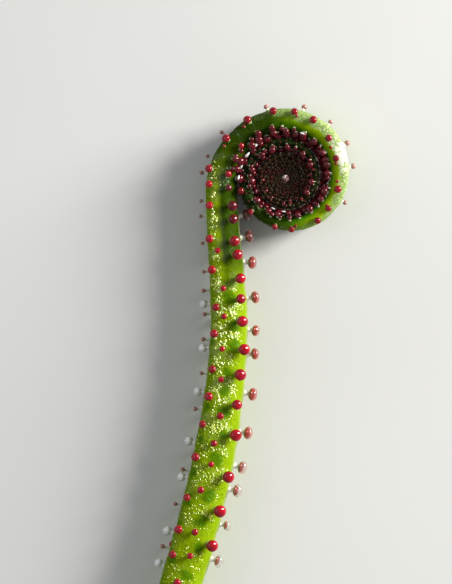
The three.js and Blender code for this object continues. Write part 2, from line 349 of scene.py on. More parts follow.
def lathe_points(profile, sides, foot, direction):
    """Points of a closed lathe on a foot, kept inside the part's height."""
    steep = 0.9
    aside = unit(np.cross(direction, UP if abs(direction[2]) < steep else SIDEWAYS))
    beside = np.cross(direction, aside)
    turn = np.arange(sides) * 2 * math.pi / sides
    circle = np.cos(turn)[:, None] * aside + np.sin(turn)[:, None] * beside
    points = [foot + direction * profile[0][1]]
    for radius, height in profile[1:-1]:
        points.extend(foot + direction * height + circle * radius)
    points.append(foot + direction * profile[-1][1])
    points = np.array(points)
    points[:, 2] = np.clip(points[:, 2], 0.0, CAD_TOP)
    return points


# Shapes of a gland, as shares. Radius of the stalk's foot and neck by the head's radius
SLIM_STALK, STOUT_STALK = (0.70, 0.34), (1.3, 0.45)
# Height along the stalk, and how much of the foot's flare it has there
STALK_FLARE = [(0.0, 1.0), (0.12, 0.62), (0.3, 0.32), (0.55, 0.12), (0.8, 0.03), (1.0, 0.08)]
# The root is wider than the foot, and the top (radius, height) ends inside the head
ROOT_SPREAD = 1.25
STALK_TOP = [(0.62, 0.10), (0.0, 0.16)]
# Half outline of the head (radius, height), and how far its underside is hollow
HEAD_CURVE = [(0.42, 0.00), (0.78, 0.05), (0.96, 0.20), (1.0, 0.40), (0.95, 0.60), (0.80, 0.79),
              (0.56, 0.92), (0.28, 0.98)]
HEAD_HOLLOW = 0.06
# A drop of fluid is a little wider than its head, and slightly squarer than a ball
DROP_RINGS, DROP_SWELL, DROP_POWER = 12, 1.09, 0.9


def stalk_profile(head, stalk, root, stout):
    """Outline (radius, height) of a stalk with a flared foot."""
    foot, neck = (share * head for share in (STOUT_STALK if stout else SLIM_STALK))
    body = [(neck + (foot - neck) * flare, stalk * share) for share, flare in STALK_FLARE]
    top = [(radius * head, stalk + height * head) for radius, height in STALK_TOP]
    return [(0.0, -root), (ROOT_SPREAD * foot, -root)] + body + top


def head_profile(head, stalk, tall):
    """Outline of a mushroom head, with its height as a share of its radius."""
    body = [(head * radius, stalk + tall * head * height) for radius, height in HEAD_CURVE]
    return [(0.0, stalk + HEAD_HOLLOW * head)] + body + [(0.0, stalk + tall * head)]


def ball_profile(radius, low, high, rings, power=1.0):
    """Outline of a ball from one height to another. A power below one makes it squarer."""
    middle, half = (low + high) / 2, (high - low) / 2
    body = []
    for ring in range(1, rings):
        angle = math.pi * ring / rings
        body.append((radius * math.sin(angle) ** power, middle - half * math.cos(angle)))
    return [(0.0, low)] + body + [(0.0, high)]


def list_glands(rows):
    """Every gland of some rows, with its place, form and tint."""
    glands = []
    for row in rows:
        chance = make_chance(row.seed)
        distance = row.start
        while distance < row.end:
            tighter = np.interp(distance, (MARKS[-1], LEAF_LENGTH), (1, INNER_SCALE))
            pitch = along(row.pitch, distance) * tighter
            place = distance + STRAY_PLACE * pitch * chance()
            swing = row.swing * math.exp(-((place - SWING_MIDDLE) / SWING_REACH) ** 2)
            degrees = along(row.angle, place) + swing + STRAY_TURN * chance()
            size = (1 + STRAY_SIZE * chance()) * tighter
            lean = STRAY_LEAN * chance()
            foot, normal, tangent = spot_at(place, degrees)
            direction = normal + UP * math.copysign(row.lift, degrees)
            direction = unit(direction + tangent * lean)
            head = along(row.head, place) * size
            stalk = along(row.stalk, place) * size
            if row.seated:
                stalk = max(stalk, -foot[2] / direction[2] - SEAT_HEIGHT * head)
            # Painted shadow: the ridge heads beside the coil darken where the coil keeps the light off them
            coil_shadow = np.interp(place, (COIL_SHADOW_START, COIL_SHADOW_END), (0, COIL_SHADOW_DARK))
            dark = max(coil_shadow if degrees < COIL_SHADOW_ANGLE else 0, row.dark)
            upright = np.interp(direction[2], UPRIGHT, (0, 1))
            root = min(ROOT_LENGTH, ROOT_SHARE * section_at(np.array([place]))[3][0])
            glands.append(Gland(place, foot, direction, head, stalk, root, row.kind, dark,
                                upright * (1 - row.dark)))
            distance += pitch
    return glands


STEM_GLANDS = list_glands(STEM_ROWS)
COIL_GLANDS = list_glands(COIL_ROWS)
CROWD_GLANDS = list_glands(CROWD_ROWS)
PAPILLA_GLANDS = list_glands(PAPILLA_ROWS)


# Skin of the leaf: its points round the section
BLADE_SIDES = 72
SECTION_ANGLES = -180 + 360 * np.arange(BLADE_SIDES) / BLADE_SIDES
# Distance between its rings, which shrinks on the inner turns below this radius
RING_STEP, FULL_STEP_RADIUS = 0.11, 2.4
# Radius of the coil where its first turn ends, and at the tip
INNER_RADIUS, LAST_RADIUS = 2.7, 0.3
# The skin swells round a gland's root, out to a multiple of its head
MOUND_REACH, MOUND_HEIGHT = 1.25, 0.05
# Waves and small bumps of the skin: how close together, how high, and a shift
RELIEF = [(0.9, 0.035, (0, 0, 0)), (2.3, 0.018, (7, 3, 1)), (5.5, 0.010, (0, 0, 0))]
# The relief fades out over this length at the cut end, and below this half depth
RELIEF_START, RELIEF_DEPTH = 0.4, 0.6
# Painted shadows of the large heads on the stem: soft dark patches, in rows: seed, from and to
# along the leaf, pitch, section angle and reach. Then the range of their stray: place, angle and size.
HEAD_SHADOW_ROWS = [(611, 0.6, 14.5, 1.95, 84, 0.53), (617, 14.3, 25, 1.5, 80, 0.44),
              (613, 1.2, 23, 2.1, 124, 0.40)]
SHADOW_STRAY, SHADOW_TURN, SHADOW_SIZE = 0.5, 22, 0.6
# Cut end: its rings as shares of the outline, and a slight hollow with a steep edge
CUT_SHARES = (1.0, 0.985, 0.94, 0.86, 0.76, 0.64, 0.5, 0.35, 0.18)
CUT_HOLLOW, CUT_POWER = 0.05, 8


def ring_distances():
    """Distances along the leaf of the blade's rings."""
    distances = [0.0]
    while distances[-1] < LEAF_LENGTH:
        radius = np.interp(distances[-1], (MARKS[2], LEAF_LENGTH), (INNER_RADIUS, LAST_RADIUS))
        distances.append(distances[-1] + RING_STEP * min(1.0, radius / FULL_STEP_RADIUS))
    distances[-1] = LEAF_LENGTH
    return np.array(distances)


def nearness(points, spots):
    """How close each point lies to the nearest spot: 1 at its centre, fading out past its reach."""
    close = np.zeros(len(points))
    faded_out = 3
    for centre, reach in spots:
        near = np.abs(points[:, 1] - centre[1]) < faded_out * reach
        away = np.linalg.norm(points[near] - centre, axis=1) / reach
        close[near] = np.maximum(close[near], np.exp(-away ** 2))
    return close


def list_patches():
    """Centre and reach of every painted shadow of a head."""
    patches = []
    for seed, start, end, pitch, turned, reach in HEAD_SHADOW_ROWS:
        chance = make_chance(seed)
        for index in range(int((end - start) / pitch)):
            place = start + pitch * (index + SHADOW_STRAY * chance())
            foot = spot_at(place, turned + SHADOW_TURN * chance())[0]
            patches.append((foot, reach * (1 + SHADOW_SIZE * chance())))
    return patches


HEAD_SHADOWS = list_patches()


def relief_at(points):
    """Height of the skin's waves and small bumps, in millimetres."""
    height = np.zeros(len(points))
    for index, point in enumerate(points):
        spot = Vector(point)
        height[index] = sum(noise.noise(spot * scale + Vector(shift)) * rise
                            for scale, rise, shift in RELIEF)
    return height


def cut_face():
    """Cut end: rings of points that shrink to its middle, and how far out each point lies."""
    sides = BLADE_SIDES
    edge, _, tangent = skin_at(np.zeros(sides), SECTION_ANGLES)
    middle = section_at(np.zeros(1))[0]
    points, rims = [middle], [0.0]
    for share in CUT_SHARES:
        hollow = CUT_HOLLOW * (1 - share ** CUT_POWER)
        points.append(middle + (edge - middle) * share + tangent * hollow)
        rims.extend([share] * sides)
    points = np.vstack(points)
    points[0] += tangent[0] * CUT_HOLLOW
    faces = []
    for ring in range(len(CUT_SHARES) - 1):
        outer, inner = 1 + ring * sides, 1 + (ring + 1) * sides
        for side in range(sides):
            after = (side + 1) % sides
            faces.append((outer + side, inner + side, inner + after, outer + after))
    last = 1 + (len(CUT_SHARES) - 1) * sides
    faces.extend([(last + side, 0, last + (side + 1) % sides) for side in range(sides)])
    return points, faces, np.array(rims)


def tube_faces(rings, sides):
    """Faces of a tube of rings, closed by one face at its far end."""
    faces = []
    last = (rings - 1) * sides
    for low in range(0, last, sides):
        for side in range(sides):
            after = (side + 1) % sides
            faces.append((low + side, low + after, low + sides + after, low + sides + side))
    return faces + [tuple(range(last, last + sides))]


def beyond_frost_edge(long_way, round_way):
    """How many degrees each point lies beyond the edge of the frosted outer face."""
    swing = FROST_SWING * np.exp(-((long_way - FROST_MIDDLE) / FROST_REACH) ** 2)
    return np.where(round_way > 0, round_way - FROST_EDGE - swing, -round_way - FROST_LOWER_EDGE)


def make_blade(material, cut_material):
    """Skin of the whole leaf, from the cut end to the tip of the coil."""
    sides = BLADE_SIDES
    distances = ring_distances()
    long_way = np.repeat(distances, sides)
    round_way = np.tile(SECTION_ANGLES, len(distances))
    points, normals, _ = skin_at(long_way, round_way)
    scale = np.repeat(np.minimum(1.0, section_at(distances)[3] / RELIEF_DEPTH), sides)
    ends = np.clip(long_way / RELIEF_START, 0, 1)
    mound = nearness(points, [(gland.foot, MOUND_REACH * gland.head)
                              for gland in STEM_GLANDS + COIL_GLANDS])
    # How near each point lies to a painted shadow of a large head
    patch = nearness(points, HEAD_SHADOWS)
    lift = (relief_at(points) + MOUND_HEIGHT * mound) * scale * ends
    points = points + normals * lift[:, None]
    points[:, 2] = np.maximum(points[:, 2], 0.0)
    faces = tube_faces(len(distances), sides)
    skin = Surface()
    skin.add(points, faces, along=long_way, across=outline_at(round_way)[0], angle=round_way,
             edge=beyond_frost_edge(long_way, round_way), patch=patch, rim=1.0)
    cut_points, cut_faces, rims = cut_face()
    cut_list = range(len(faces), len(faces) + len(cut_faces))
    skin.add(cut_points, cut_faces, along=0.0, across=0.0, angle=0.0, edge=-90.0, patch=0.0,
             rim=rims)
    return skin.make("leaf_blade", material, cut_material, cut_list)


# Core of a head for each kind of gland: its radius as a share of the head, and its height
# as a share of that radius. Then the clear drop: from and to, as shares of the head.
CORES = {"plain": (1.0, 1.3), "pale": (1.0, 1.6), "capped": (0.84, 0.95), "wet": (0.5, 1.2)}
DROPS = {"capped": (-0.15, 1.35), "wet": (-0.2, 1.7)}
DROP_SIDES = 24
# Drops turn from clear to pink between these places along the leaf. The clear ones have a
# smaller core, by this share.
PINK_START, PINK_END = 9.0, 16.0
CLEAR_CORE = 0.76


def add_stalk(stalks, gland, sides):
    """One stalk, which knows the share of its height at each point."""
    profile = stalk_profile(gland.head, gland.stalk, gland.root, gland.kind == "pale")
    counts = [1] + [sides] * (len(profile) - 2) + [1]
    heights = np.repeat([height for _, height in profile], counts)
    share = np.clip(heights / gland.stalk, 0, 1)
    stalks.add_lathe(profile, sides, gland.foot, gland.direction, share=share,
                     green=gland.green)


def add_head(heads, gland, sides, pink):
    """One head. Inside a clear drop it is smaller."""
    core, tall = CORES[gland.kind]
    if gland.kind == "capped":
        core *= CLEAR_CORE + (1 - CLEAR_CORE) * pink
    profile = head_profile(core * gland.head, gland.stalk, tall)
    pale = 1.0 if gland.kind == "pale" else 0.0
    heads.add_lathe(profile, sides, gland.foot, gland.direction, dark=gland.dark, pale=pale)


def add_drop(drops, gland, pink):
    """The drop of fluid round one head."""
    low, high = (gland.stalk + share * gland.head for share in DROPS[gland.kind])
    profile = ball_profile(DROP_SWELL * gland.head, low, high, DROP_RINGS, DROP_POWER)
    drops.add_lathe(profile, DROP_SIDES, gland.foot, gland.direction, pink=pink)


def make_glands(glands, label, sides, stalk_look, head_look, drop_look=None, wet_look=None):
    """Stalks, heads and drops of a list of glands, each kind in one piece."""
    stalks, heads = Surface(), Surface()
    drops = {"capped": Surface(), "wet": Surface()}
    for gland in glands:
        pink = np.interp(gland.place, (PINK_START, PINK_END), (0.0, 1.0))
        add_stalk(stalks, gland, sides[0])
        add_head(heads, gland, sides[1], pink)
        if gland.kind in drops:
            add_drop(drops[gland.kind], gland, pink)
    stalks.make(label + "_stalks", stalk_look)
    heads.make(label + "_heads", head_look)
    if drop_look:
        drops["capped"].make(label + "_caps", drop_look)
        drops["wet"].make(label + "_drops", wet_look)


class Paint:
    """A material built node by node. Its textures are laid out in millimetres."""

    def __init__(self, name, **constants):
        self.material = bpy.data.materials.new(name)
        self.material.use_nodes = True
        self.nodes = self.material.node_tree.nodes
        self.links = self.material.node_tree.links
        self.shader = self.nodes["Principled BSDF"]
        self.set(self.shader, constants)
        scaled_place = self.node("VectorMath", "SCALE", Scale=1 / MM)
        self.links.new(self.node("TexCoord").outputs["Object"], scaled_place.inputs[0])
        self.place = scaled_place.outputs[0]

    def put(self, socket, value):
        """Gives a socket a constant, another socket or a value that the mesh holds by name."""
        if isinstance(value, str):
            node = self.node("Attribute")
            node.attribute_name = value
            value = node.outputs["Fac"]
        if isinstance(value, bpy.types.NodeSocket):
            self.links.new(value, socket)
        else:
            socket.default_value = value

    def set(self, node, values):
        """Puts values into the sockets that they are named after."""
        for label, value in values.items():
            self.put(node.inputs[label.replace("_", " ")], value)

    def node(self, kind, operation=None, **values):
        """New node of a kind, with its operation and sockets set."""
        node = self.nodes.new("ShaderNode" + kind)
        if operation:
            node.operation = operation
        self.set(node, values)
        return node

    def noise(self, scale, detail=2.0):
        """Soft noise. It mostly lies between 0.3 and 0.7."""
        return self.node("TexNoise", Vector=self.place, Scale=scale, Detail=detail).outputs["Fac"]

    def cells(self, scale):
        """Distance from the middle of the nearest of some scattered cells."""
        return self.node("TexVoronoi", Vector=self.place, Scale=scale).outputs["Distance"]

    def spread(self, value, low, high, first=0.0, last=1.0):
        """Maps a value from low..high to first..last, smoothly and without overshoot."""
        node = self.node("MapRange", From_Min=low, From_Max=high, To_Min=first, To_Max=last, Value=value)
        node.interpolation_type = "SMOOTHSTEP"
        return node.outputs["Result"]

    def cloud(self, scale, first, last):
        """Soft noise, spread from first to last."""
        return self.spread(self.noise(scale), 0.3, 0.7, first, last)

    def math(self, operation, first, second):
        """Arithmetic with two values."""
        node = self.node("Math", operation)
        self.put(node.inputs[0], first)
        self.put(node.inputs[1], second)
        return node.outputs[0]

    def times(self, product, *factors):
        """Product of several values."""
        for factor in factors:
            product = self.math("MULTIPLY", product, factor)
        return product

    def apart(self, value, middle):
        """How far a value lies from a middle, either way."""
        return self.math("ABSOLUTE", self.math("SUBTRACT", value, middle), 0.0)

    def mix(self, share, first, second):
        """Colour between two others."""
        node = self.node("Mix")
        node.data_type = "RGBA"
        self.put(node.inputs["Factor"], share)
        for socket, value in ((node.inputs[6], first), (node.inputs[7], second)):
            self.put(socket, value if isinstance(value, bpy.types.NodeSocket) else (*value, 1.0))
        return node.outputs[2]

    def bump(self, height, depth_mm, strength=1.0, **under):
        """Bumps by a height, on top of other ones."""
        values = dict(Height=height, Distance=depth_mm * MM, Strength=strength, **under)
        return self.node("Bump", **values).outputs["Normal"]

    def finish(self, colour, bumps=None, **values):
        """Connects the colour, bumps and other values, and gives the material."""
        if bumps is not None:
            values = dict(Normal=bumps, Coat_Normal=bumps) | values
        self.set(self.shader, dict(Base_Color=colour) | values)
        return self.material


# Colours of the leaf, linear
DEEP_GREEN = (0.06, 0.14, 0.001)
HEAD_SHADOW_GREEN = (0.072, 0.195, 0.001)
MID_GREEN = (0.205, 0.335, 0.003)
BRIGHT_GREEN = (0.28, 0.4, 0.001)
LIT_LIME = (0.31, 0.46, 0.002)
LIT_BAND_GREEN = (0.075, 0.29, 0.001)
COIL_GREEN = (0.014, 0.04, 0.001)
COIL_SHADE = (0.024, 0.058, 0.001)
RIM_PALE = (0.42, 0.44, 0.24)
INNER_GREEN = (0.01, 0.022, 0.004)
FROST_GREEN = (0.21, 0.32, 0.085)
FROST_GLITTER = (0.42, 0.52, 0.24)
LIT_GLITTER = (0.74, 0.8, 0.46)
GLARE = (0.86, 0.9, 0.74)
SHADE_BROWN = (0.034, 0.018, 0.009)
CRIMSON = (0.44, 0.002, 0.014)
MAROON = (0.085, 0.004, 0.008)
PALE_PINK = (0.48, 0.26, 0.22)
STALK_ROOT, STALK_GLASS, STALK_NECK = (0.46, 0.54, 0.16), (0.95, 0.93, 0.82), (0.6, 0.24, 0.18)
CLEAR_FLUID, PINK_FLUID = (0.93, 0.93, 0.91), (0.85, 0.34, 0.3)
# Tones of the glittering facets; the paler ones are a painted glint
GREEN_FACETS = (0.3, 0.44, 0.01), (0.66, 0.76, 0.08)
WHITE_FACETS = (0.38, 0.55, 0.02), (0.76, 0.87, 0.22)
TISSUE_TONES, BUNDLE_GREEN = ((0.4, 0.52, 0.16), (0.62, 0.7, 0.34)), (0.26, 0.34, 0.06)
# Places along the leaf: where the coil's deep green sets in, partly painted shade, where the frost does, and
# where the inner turns grow dark and then brown, partly painted shade
COIL_ONSET, FROST_ONSET = (28.5, 34.5), (33.0, 38.5)
DARK_ONSET, BROWN_ONSET = (48.0, 54.0), (58.0, 66.0)
# The flank next to the coil is painted in shade from and to these places
LEE_ONSET, LEE_FADE = (23.0, 26.5), (31.0, 34.0)
# The wet patches set in and end here
WET_ONSET, WET_FADE = (8.0, 17.0), (33.0, 35.0)
# Middle of the painted band of light and of the painted glare
LIT_BAND_MIDDLE, GLARE_MIDDLE = 42.8, 42.0


def stem_colour(paint):
    """Yellow-green with blotches and grain; painted shade on the right flank, a deeper green left edge and
    ragged painted shadows of the heads.
    """
    # Painted shade: the right flank, which faces the light, is darkened to temper it
    colour = paint.mix(paint.spread("across", 0.45, 1.0, 0.0, 0.55), BRIGHT_GREEN, MID_GREEN)
    # Deeper green towards the left edge, which faces away from the light: partly the leaf's own tone, partly
    # painted shade
    colour = paint.mix(paint.spread("across", -0.62, -1.02, 0.0, 0.9), colour, DEEP_GREEN)
    colour = paint.mix(paint.spread(paint.noise(3.2, 4.0), 0.35, 0.7, 0.0, 0.6), colour, MID_GREEN)
    patch = paint.math("ADD", "patch", paint.cloud(2.5, -0.2, 0.2))
    # Painted shadows of the large heads, in a deeper green with less grain
    colour = paint.mix(paint.spread(patch, 0.15, 0.85, 0.0, 0.95), colour, HEAD_SHADOW_GREEN)
    grain = paint.spread(paint.noise(8.0, 3.0), 0.36, 0.64, 0.0, 0.6)
    grain = paint.times(grain, paint.spread(patch, 0.2, 0.8, 1.0, 0.35))
    return paint.mix(grain, colour, MID_GREEN)


def coil_colour(paint, colour):
    """Deep green on the coil, partly painted shade, and a painted band of light, lime, between the crowded
    heads and the frosted face.
    """
    beyond = paint.apart("along", LIT_BAND_MIDDLE)
    # Painted light: the band glows most on the coil's side that faces the light, as light coming through the
    # leaf
    lit = paint.spread(beyond, 3.0, 6.8, 0.9, 0.0)
    below_edge = paint.math("SUBTRACT", "edge", paint.spread(beyond, 3.0, 7.0, 0.0, 40.0))
    inner = paint.times(paint.spread(below_edge, -90.0, -60.0), lit)
    outer = paint.times(paint.spread(below_edge, -58.0, -15.0), lit)
    # The coil's deep green: partly its own younger tissue, partly painted shade where its faces turn from
    # the light
    colour = paint.mix(paint.spread("along", *COIL_ONSET, 0.0, 0.96), colour, COIL_GREEN)
    colour = paint.mix(inner, colour, LIT_BAND_GREEN)
    return paint.mix(outer, colour, LIT_LIME)


def flank_colour(paint, colour):
    """Painted shade on the stem's flank next to the coil, and a painted pale edge where light comes through.
    """
    shade = paint.times(paint.spread("across", -0.35, 0.05, 0.0, 0.95),
                        paint.spread("along", *LEE_ONSET),
                        paint.spread("along", *LEE_FADE, 1.0, 0.0))
    rim = paint.times(paint.spread("angle", 3.0, 12.0), paint.spread("angle", 27.0, 16.0),
                      paint.spread("along", *COIL_ONSET, 0.35, 0.0))
    return paint.mix(rim, paint.mix(shade, colour, COIL_SHADE), RIM_PALE)


def frost_colour(paint, colour, outer, off_glare, glare):
    """Frosted outer face: pale, partly its own tone and partly painted sheen strongest near the glare, with
    fine pale specks of painted glitter, and white in the painted glare.
    """
    # The frost fades away from the glare: partly painted sheen
    frosted = paint.times(outer, paint.spread("along", *FROST_ONSET, 0.08, 1.0),
                          paint.spread(off_glare, 3.0, 7.0, 0.95, 0.20))
    specks = paint.spread(paint.noise(10.0), 0.46, 0.64, 0.0, 0.9)
    glitter_tone = paint.mix(paint.spread(off_glare, 0.8, 3.4), LIT_GLITTER, FROST_GLITTER)
    colour = paint.mix(frosted, colour, FROST_GREEN)
    colour = paint.mix(paint.times(frosted, specks), colour, glitter_tone)
    return paint.mix(paint.times(frosted, glare), colour, GLARE)


def wet_places(paint, outer, glare):
    """Where the skin is wet: patches of the stem's upper side, and the glare."""
    wet = paint.times(paint.spread("angle", 48.0, 78.0), paint.spread("angle", 150.0, 112.0),
                      paint.spread(paint.noise(0.9), 0.46, 0.60, 0.0, 0.8),
                      paint.spread("along", *WET_FADE, 1.0, 0.08),
                      paint.spread("along", *WET_ONSET, 0.3, 1.0),
                      paint.spread("patch", 0.2, 0.6, 1.0, 0.2))
    return paint.math("MAXIMUM", wet, paint.times(glare, outer))


def leaf_material():
    """Yellow-green skin with painted shade and painted head shadows, a frosted outer face with a painted
    glare, and glinting wet places.
    """
    paint = Paint("leaf_skin", Subsurface_Weight=0.3, Subsurface_Radius=(0.9, 1.0, 0.15),
                  Subsurface_Scale=0.0004, Coat_Roughness=0.08, Coat_IOR=1.6, Specular_IOR_Level=0.02,
                  Sheen_Weight=0.04, Sheen_Roughness=0.12, Sheen_Tint=(0.80, 0.92, 0.60, 1.0))
    outer = paint.spread(paint.math("ADD", "edge", paint.cloud(1.6, -7.0, 7.0)), -6.0, 9.0)
    off_glare = paint.apart("along", GLARE_MIDDLE)
    # Painted glare: a white highlight on the frosted face where it turns to the light
    glare = paint.spread(paint.math("ADD", off_glare, paint.cloud(4.0, -0.5, 0.5)), 0.3, 1.0, 1.0, 0.0)
    glare = paint.times(glare, paint.spread("angle", 168.0, 145.0))

    colour = flank_colour(paint, coil_colour(paint, stem_colour(paint)))
    colour = frost_colour(paint, colour, outer, off_glare, glare)
    # Inner turns darken and then brown: partly their own tone, partly painted shade deep in the coil
    colour = paint.mix(paint.spread("along", *DARK_ONSET, 0.0, 0.95), colour, INNER_GREEN)
    colour = paint.mix(paint.spread("along", *BROWN_ONSET, 0.0, 0.95), colour, SHADE_BROWN)

    ripple = paint.bump(paint.noise(2.2), 0.04)
    domes = paint.spread(paint.cells(5.0), 0.0, 0.45, 1.0, 0.0)
    pebble = paint.bump(domes, 0.03, 0.8, Normal=ripple)
    # The wet coat has coarser bumps, which break its glints up
    glints = paint.bump(paint.noise(5.5, 1.0), 0.13, Normal=pebble)
    wet = wet_places(paint, outer, glare)
    return paint.finish(colour, pebble, Roughness=paint.cloud(4.0, 0.45, 0.65), Coat_Weight=wet,
                        Coat_Normal=glints)


def stalk_material():
    """Glassy beige stalk, green at its root and pink under the head."""
    paint = Paint("gland_stalk", Transmission_Weight=0.10, Subsurface_Weight=0.3,
                  Subsurface_Radius=(1.0, 0.9, 0.7), Subsurface_Scale=0.0002, Coat_Weight=1.0,
                  Coat_Roughness=0.05, IOR=1.36)
    colour = paint.mix(paint.spread("share", 0.0, 0.3), STALK_ROOT, STALK_GLASS)
    colour = paint.mix(paint.spread("share", 0.8, 1.0), colour, STALK_NECK)
    colour = paint.mix(paint.times("green", 0.9), colour, MID_GREEN)
    return paint.finish(colour, paint.bump(paint.noise(5.0), 0.02),
                        Roughness=paint.cloud(5.0, 0.12, 0.3))


def head_material():
    """Glossy crimson head with soft cloudy tone inside. Deep in the coil it turns maroon: partly its own
    tone, partly painted shade.
    """
    paint = Paint("gland_head", Subsurface_Weight=0.25, Subsurface_Radius=(1.0, 0.12, 0.14),
                  Subsurface_Scale=0.0001, Coat_Weight=1.0, Coat_Roughness=0.03, Coat_IOR=1.52,
                  Roughness=0.5, Specular_IOR_Level=0.0)
    tone = paint.spread(paint.noise(1.3), 0.35, 0.65, 0.0, 0.45)
    colour = paint.mix(tone, CRIMSON, MAROON)
    # Painted shade in part: the dark value turns heads maroon deep in the coil and beside it
    colour = paint.mix("dark", colour, MAROON)
    colour = paint.mix(paint.times("pale", 0.85), colour, PALE_PINK)
    return paint.finish(colour, paint.bump(paint.noise(3.0), 0.002))


def drop_material():
    """Clear sticky fluid, tinged pink on the younger heads."""
    paint = Paint("clear_drop", Transmission_Weight=0.88, Roughness=0.02, IOR=1.34, Coat_Weight=1.0,
                  Coat_Roughness=0.02)
    haze = paint.math("ADD", "pink", paint.cloud(0.8, -0.2, 0.2))
    colour = paint.mix(haze, CLEAR_FLUID, PINK_FLUID)
    return paint.finish(colour, paint.bump(paint.noise(1.0), 0.002))


def glint_material():
    """Wet facets that glisten, green or with a whitish painted glint."""
    paint = Paint("glistening_bead", Roughness=0.4, Coat_Weight=1.0, Coat_Roughness=0.06,
                  Coat_IOR=1.75, Specular_IOR_Level=0.04)
    share = paint.spread(paint.noise(2.5), 0.4, 0.6)
    green, white = paint.mix(share, *GREEN_FACETS), paint.mix(share, *WHITE_FACETS)
    return paint.finish(paint.mix("white", green, white))


def cut_material():
    """Moist cut tissue: pale green with a greener rind and faint bundles."""
    paint = Paint("cut_tissue", Subsurface_Weight=0.4, Subsurface_Radius=(0.9, 1.0, 0.3),
                  Subsurface_Scale=0.0005, Coat_Weight=0.5, Coat_Roughness=0.15)
    tissue = paint.mix(paint.noise(5.0, 4.0), *TISSUE_TONES)
    bundles = paint.spread(paint.cells(2.3), 0.16, 0.34, 0.55, 0.0)
    ring = paint.times(paint.spread("rim", 0.30, 0.48), paint.spread("rim", 0.86, 0.74))
    colour = paint.mix(paint.spread("rim", 0.70, 0.98), tissue, MID_GREEN)
    colour = paint.mix(paint.times(bundles, ring), colour, BUNDLE_GREEN)
    return paint.finish(colour, paint.bump(paint.cells(9.0), 0.03), Roughness=0.4)


def mottled_material(name, first, second, scale, low, high, bumps=None, **constants):
    """Plain material in two tones, mixed by noise, with bumps of a scale and height."""
    paint = Paint(name, **constants)
    colour = paint.mix(paint.spread(paint.noise(scale), low, high), first, second)
    return paint.finish(colour, bumps and paint.bump(paint.noise(bumps[0]), bumps[1]))


LEAF, STALK, HEAD, DROP = leaf_material(), stalk_material(), head_material(), drop_material()
GLINT, CUT = glint_material(), cut_material()
# Whitish drops of fluid, milky, their whiteness partly a painted reflection; also the look of the painted
# highlight streaks
WET = mottled_material(
    "cloudy_drop", (0.84, 0.86, 0.84), (0.98, 0.98, 0.97), 1.5, 0.35, 0.65, (1.5, 0.004),
    Transmission_Weight=0.12, Roughness=0.05, IOR=1.38, Coat_Weight=1.0, Coat_Roughness=0.02)
# Minute stalkless glands on the skin
BEAD = mottled_material(
    "skin_bead", (0.28, 0.42, 0.005), (0.42, 0.52, 0.03), 1.5, 0.4, 0.6, None, Roughness=0.4,
    Coat_Weight=0.5, Coat_Roughness=0.04, Coat_IOR=1.45, Specular_IOR_Level=0.04)
# Dull dark heads and stalks of the inner turns, darkened partly as painted shade
PAPILLA = mottled_material(
    "inner_papilla", (0.060, 0.004, 0.006), (0.030, 0.020, 0.008), 2.0, 0.34, 0.56, (8.0, 0.02),
    Coat_Weight=0.2, Coat_Roughness=0.2, Roughness=0.6, Specular_IOR_Level=0.1)
# Reddish bud with whitish specks, which are painted highlights
TIP = mottled_material(
    "tip_skin", (0.16, 0.03, 0.02), (0.92, 0.82, 0.76), 3.6, 0.50, 0.60, None, Roughness=0.2,
    Coat_Weight=1.0, Coat_Roughness=0.08, Coat_IOR=2.0)
# Pale floor
FLOOR_LOOK = mottled_material(
    "pale_floor", (0.74, 0.74, 0.735), (0.78, 0.78, 0.775), 0.03, 0.3, 0.7, None, Roughness=0.85,
    Specular_IOR_Level=0.2)


# Minute droplets on the skin. A field of round ones has a count, its ends along the leaf,
# its middle angle and half spread, and a radius.
BEAD_FIELDS = [(1100, 0, 31, 98, 70, 0.038), (500, 0, 30, 52, 26, 0.026)]
# Clusters of wet facets that glitter: the same, with the facets in a cluster and how widely
# they scatter before the radius
CLUSTER_FIELDS = [(38, 0, 10.5, 94, 28, 12, 1.0, 0.055), (115, 10.5, 26, 89, 27, 12, 1.0, 0.055),
                  (30, 3, 25, 66, 12, 9, 0.7, 0.055), (15, 24, 32.0, 108, 14, 12, 1.0, 0.046),
                  (24, 17, 30.5, 106, 8, 5, 0.45, 0.085)]
CLUSTER_REACH, CLUSTER_SPREAD, CLUSTER_LEAN = 0.42, 34, 0.35
BEAD_STRAY, BEAD_SIDES, BEAD_RINGS, BEAD_SINK = 0.8, 6, 4, 0.7
# How whitish the facets are, at places along the leaf: the whitish tone is a painted glint
WHITE_PLACES, WHITE_SHARES = (12.0, 17.0, 24.0, 33.0), (0.0, 0.9, 0.9, 0.0)
# The shaded part of the stem has no droplets: its ends along the leaf and its widest angle
SHADE_START, SHADE_END, SHADE_ANGLE = 24, 32.5, 97
# Nor have the painted head shadows, from this nearness to their centres, and the skin at the floor,
# below this many times a droplet's radius
SHADOW_BARE, FLOOR_BARE = 0.45, 3
# The facets lean towards the upper right, where the light comes from, and a little out of
# the skin. A facet is a low dome with a wide, nearly flat top: radius and height as shares.
FACET_LEAN, FACET_OUTWARD = np.array((0.54, 0.23, 0.81)), 0.25
FACET_CURVE = [(0.0, -1.0), (1.0, -1.0), (1.0, 0.1), (0.85, 0.38), (0.4, 0.43), (0.0, 0.44)]


def scaled(curve, width, height):
    """Outline whose radii and heights are shares of a width and a height."""
    return [(width * radius, height * rise) for radius, rise in curve]


